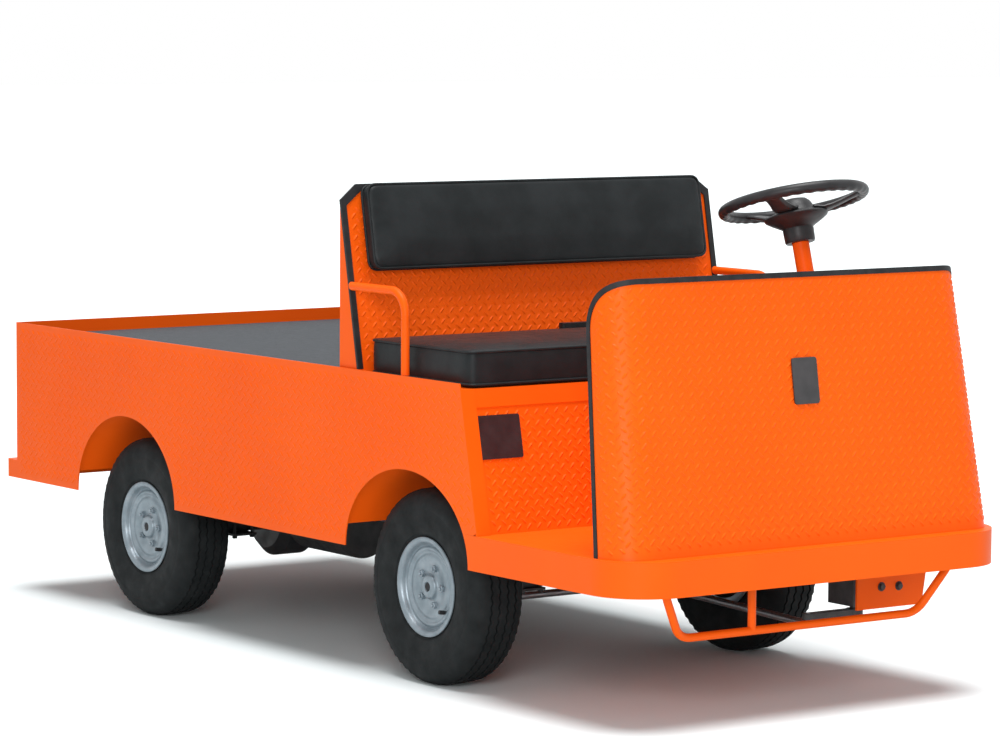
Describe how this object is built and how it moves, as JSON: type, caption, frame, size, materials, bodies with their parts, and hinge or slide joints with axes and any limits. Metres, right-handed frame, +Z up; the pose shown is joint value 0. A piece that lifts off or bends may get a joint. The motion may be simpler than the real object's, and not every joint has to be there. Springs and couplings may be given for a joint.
{
  "type": "flatbed electric utility vehicle",
  "caption": "Low industrial utility vehicle with a bench seat, tread plate body, bent front cowl, flat cargo bed and four pneumatic tyres.",
  "frame": {"origin": "on the ground, at the middle of the vehicle's length and width", "axes": "+Y towards the tail, -Y forwards, +X towards the vehicle's left (driver's) side, +Z up"},
  "size_m": [1.118, 2.766, 1.1794],
  "materials": {
    "body_paint": "semi-gloss orange powder coat over tread plate",
    "chassis_paint": "satin black",
    "bed_coating": "matte grey non-slip coating",
    "vinyl": "black upholstery vinyl",
    "edge_trim": "black push-on edging",
    "rim_paint": "silver",
    "tyre_rubber": "matte",
    "wheel_plastic": "satin black",
    "battery_case": "black",
    "cast_metal": "painted casting",
    "rod_steel": "plain steel",
    "pedal_rubber": "ribbed"
  },
  "bodies": {
    "chassis": {"frame_rails": "chassis_paint", "frame_cross_members": "chassis_paint", "bed_bearers": "chassis_paint", "bed_posts": "chassis_paint", "battery_pack": "battery_case", "front_deck": "body_paint", "side_panel_left": "body_paint", "side_panel_right": "body_paint", "wheel_liners": "body_paint", "seat_box": "body_paint", "bed_floor": "bed_coating", "rear_board": "body_paint", "rear_bumper": "body_paint", "cowl": "body_paint", "cowl_trim": "edge_trim", "seat_back_panel": "body_paint", "seat_back_trim": "edge_trim", "seat_cushion": "vinyl", "backrest_cushion": "vinyl", "hip_restraints": "body_paint", "dash_panel": "body_paint", "front_guard": "body_paint", "leaf_springs": "chassis_paint", "front_axle_beam": "chassis_paint", "steering_gear": "cast_metal", "gear_bracket": "body_paint", "steering_column": "body_paint", "rear_axle": "chassis_paint", "drive_motor": "cast_metal", "pedals": "pedal_rubber"},
    "wheel_front_left": {"rim_front_left": "rim_paint", "tyre_front_left": "tyre_rubber"},
    "wheel_front_right": {"rim_front_right": "rim_paint", "tyre_front_right": "tyre_rubber"},
    "wheel_rear_left": {"rim_rear_left": "rim_paint", "tyre_rear_left": "tyre_rubber"},
    "wheel_rear_right": {"rim_rear_right": "rim_paint", "tyre_rear_right": "tyre_rubber"},
    "knuckle_left": {"knuckle_left": "cast_metal"},
    "knuckle_right": {"knuckle_right": "cast_metal"},
    "tie_rod": {"tie_rod": "rod_steel"},
    "drag_link": {"drag_link": "rod_steel"},
    "pitman_arm": {"pitman_arm": "cast_metal"},
    "steering_wheel": {"steering_wheel": "wheel_plastic"}
  },
  "joints": [
    {"name": "steer_left", "type": "hinge", "parent": "chassis", "child": "knuckle_left", "pos_m": [0.36, -0.53, 0.23], "axis": [0, 0, 1], "range_deg": [-28, 28]},
    {"name": "steer_right", "type": "hinge", "parent": "chassis", "child": "knuckle_right", "pos_m": [-0.36, -0.53, 0.23], "axis": [0, 0, 1], "range_deg": [-28, 28]},
    {"name": "tie_rod_turn", "type": "hinge", "parent": "knuckle_left", "child": "tie_rod", "pos_m": [0.36, -0.425, 0.167], "axis": [0, 0, 1], "range_deg": [-28, 28]},
    {"name": "pitman_turn", "type": "hinge", "parent": "chassis", "child": "pitman_arm", "pos_m": [0.285, -1.137, 0.167], "axis": [0, 0, 1], "range_deg": [-28, 28]},
    {"name": "drag_link_turn", "type": "hinge", "parent": "pitman_arm", "child": "drag_link", "pos_m": [0.145, -1.137, 0.167], "axis": [0, 0, 1], "range_deg": [-28, 28]},
    {"name": "steering_wheel_turn", "type": "hinge", "parent": "chassis", "child": "steering_wheel", "pos_m": [0.285, -0.90043, 1.121], "axis": [0, 0.2756, 0.9613], "range_deg": [-336, 336]},
    {"name": "roll_front_left", "type": "hinge", "parent": "knuckle_left", "child": "wheel_front_left", "pos_m": [0.441, -0.53, 0.23], "axis": [1, 0, 0], "continuous": true},
    {"name": "roll_front_right", "type": "hinge", "parent": "knuckle_right", "child": "wheel_front_right", "pos_m": [-0.441, -0.53, 0.23], "axis": [1, 0, 0], "continuous": true},
    {"name": "roll_rear_left", "type": "hinge", "parent": "chassis", "child": "wheel_rear_left", "pos_m": [0.441, 0.75, 0.23], "axis": [1, 0, 0], "continuous": true},
    {"name": "roll_rear_right", "type": "hinge", "parent": "chassis", "child": "wheel_rear_right", "pos_m": [-0.441, 0.75, 0.23], "axis": [1, 0, 0], "continuous": true}
  ],
  "couplings": [
    {"joint": "steer_right", "follows": "steer_left", "ratio": 1},
    {"joint": "tie_rod_turn", "follows": "steer_left", "ratio": -1},
    {"joint": "pitman_turn", "follows": "steer_left", "ratio": 1},
    {"joint": "drag_link_turn", "follows": "steer_left", "ratio": -1},
    {"joint": "steering_wheel_turn", "follows": "steer_left", "ratio": 12}
  ]
}
